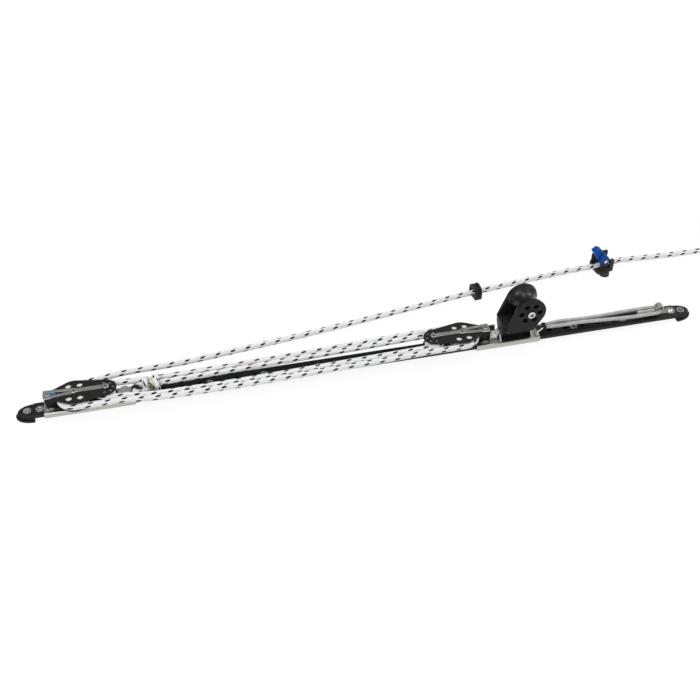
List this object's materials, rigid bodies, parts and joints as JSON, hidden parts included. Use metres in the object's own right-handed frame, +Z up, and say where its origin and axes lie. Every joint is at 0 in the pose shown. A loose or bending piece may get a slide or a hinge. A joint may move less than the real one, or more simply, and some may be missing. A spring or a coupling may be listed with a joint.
{
  "type": "adjustable sheet lead car on deck track",
  "caption": "Sheet lead car on a deck T track, towed by a fiddle-block purchase to a plunger-stopped slider, with elastic return, fairlead and cam cleat.",
  "frame": {"origin": "middle of the track's underside, on the deck", "axes": "+X aft along the track, +Y across it towards the cleat, +Z up from the deck"},
  "size_m": [1.1749, 0.2585, 0.0869],
  "materials": {
    "black_anodised": "satin black anodised aluminium",
    "black_moulded": "black moulded glass-filled nylon",
    "lead_sheave_black": "smooth black moulded sheave",
    "sheave_white": "white acetal",
    "liner_nylon": "dark nylon liner",
    "steel_brushed": "brushed stainless steel",
    "steel_bright": "polished stainless steel",
    "cam_blue": "blue moulded lever",
    "inlay_blue": "blue moulded inlay, left bare",
    "insert_brass": "turned brass",
    "spring_wire": "drawn spring wire",
    "line_braid": "white braided polyester with dark flecks",
    "shock_cover": "light grey braided cover over rubber strands"
  },
  "bodies": {
    "root": {"track": "black_anodised", "end_caps": "black_moulded", "deck_screws": "steel_bright", "control_slider": "steel_brushed", "control_liner": "liner_nylon", "plunger_housing": "black_moulded", "plunger_spring": "spring_wire", "becket_eye": "black_anodised", "left_upper_cheek": "black_moulded", "left_lower_cheek": "black_moulded", "left_upper_strap": "steel_brushed", "left_lower_strap": "steel_brushed", "left_slot_inlay": "inlay_blue", "left_block_pins": "steel_brushed", "left_spacers": "black_moulded", "left_head_spacer": "black_moulded", "becket_knot": "line_braid", "line_falls": "line_braid", "line_tail": "line_braid", "free_tail": "line_braid", "tail_coil": "line_braid", "shock_cord": "shock_cover", "cord_anchor": "steel_brushed", "anchor_screw": "steel_bright", "fairlead": "black_moulded", "cleat_body": "black_moulded", "cam_pin": "steel_bright", "cam_spring": "spring_wire", "deck_inserts": "insert_brass"},
    "car": {"car_slider": "steel_brushed", "car_liner": "liner_nylon", "tow_clevis": "steel_brushed", "clevis_pin": "steel_bright", "hinge_plates": "steel_brushed", "hinge_pin": "steel_bright", "right_upper_cheek": "black_moulded", "right_lower_cheek": "black_moulded", "right_upper_strap": "steel_brushed", "right_lower_strap": "steel_brushed", "right_slot_inlay": "inlay_blue", "right_block_pins": "steel_brushed", "right_spacers": "black_moulded", "right_head_spacer": "black_moulded", "line_right_wraps": "line_braid", "wire_bail": "steel_bright", "cord_ferrule": "black_moulded"},
    "plunger": {"plunger_knob": "steel_brushed"},
    "left_large_sheave": {"left_large_sheave": "sheave_white"},
    "left_small_sheave": {"left_small_sheave": "sheave_white"},
    "right_large_sheave": {"right_large_sheave": "sheave_white"},
    "right_small_sheave": {"right_small_sheave": "sheave_white"},
    "lead_block": {"lead_base": "black_moulded", "lead_near_cheek": "black_moulded", "lead_far_cheek": "black_moulded", "lead_bush": "steel_brushed", "lead_bolt": "steel_bright", "lead_nut": "steel_bright"},
    "lead_sheave": {"lead_sheave": "lead_sheave_black"},
    "cam": {"cleat_cam": "cam_blue"}
  },
  "joints": [
    {"name": "car_slide", "type": "slide", "parent": "root", "child": "car", "axis": [1, 0, 0], "range_m": [-0.32, 0.06], "deforming": ["line_falls", "shock_cord"]},
    {"name": "plunger_lift", "type": "slide", "parent": "root", "child": "plunger", "axis": [0, 0, 1], "range_m": [0, 0.0036], "stiffness_N_per_m": 1500, "springref_m": -0.002, "deforming": ["plunger_spring"]},
    {"name": "left_large_sheave_spin", "type": "hinge", "parent": "root", "child": "left_large_sheave", "pos_m": [-0.402, 0, 0.0234], "axis": [0, 0, 1], "continuous": true},
    {"name": "left_small_sheave_spin", "type": "hinge", "parent": "root", "child": "left_small_sheave", "pos_m": [-0.361, 0, 0.0234], "axis": [0, 0, 1], "continuous": true},
    {"name": "right_large_sheave_spin", "type": "hinge", "parent": "car", "child": "right_large_sheave", "pos_m": [0.1305, 0, 0.0234], "axis": [0, 0, 1], "continuous": true},
    {"name": "right_small_sheave_spin", "type": "hinge", "parent": "car", "child": "right_small_sheave", "pos_m": [0.0895, 0, 0.0234], "axis": [0, 0, 1], "continuous": true},
    {"name": "lead_tilt", "type": "hinge", "parent": "car", "child": "lead_block", "pos_m": [0.2085, 0, 0.0204], "axis": [1, 0, 0], "range_deg": [-55, 55]},
    {"name": "lead_sheave_spin", "type": "hinge", "parent": "lead_block", "child": "lead_sheave", "pos_m": [0.2215, 0, 0.0645], "axis": [0, 1, 0], "continuous": true},
    {"name": "cam_open", "type": "hinge", "parent": "root", "child": "cam", "pos_m": [0.3987, 0.1299, 0.02], "axis": [0.1219, -0.9925, 0], "range_deg": [0, 35], "stiffness_Nm_per_rad": 0.06, "springref_deg": -11.46}
  ],
  "couplings": [
    {"joint": "right_small_sheave_spin", "follows": "car_slide", "rad_per_m": 78.74},
    {"joint": "left_small_sheave_spin", "follows": "car_slide", "rad_per_m": 157.48},
    {"joint": "right_large_sheave_spin", "follows": "car_slide", "rad_per_m": 142.86},
    {"joint": "left_large_sheave_spin", "follows": "car_slide", "rad_per_m": 190.48}
  ]
}
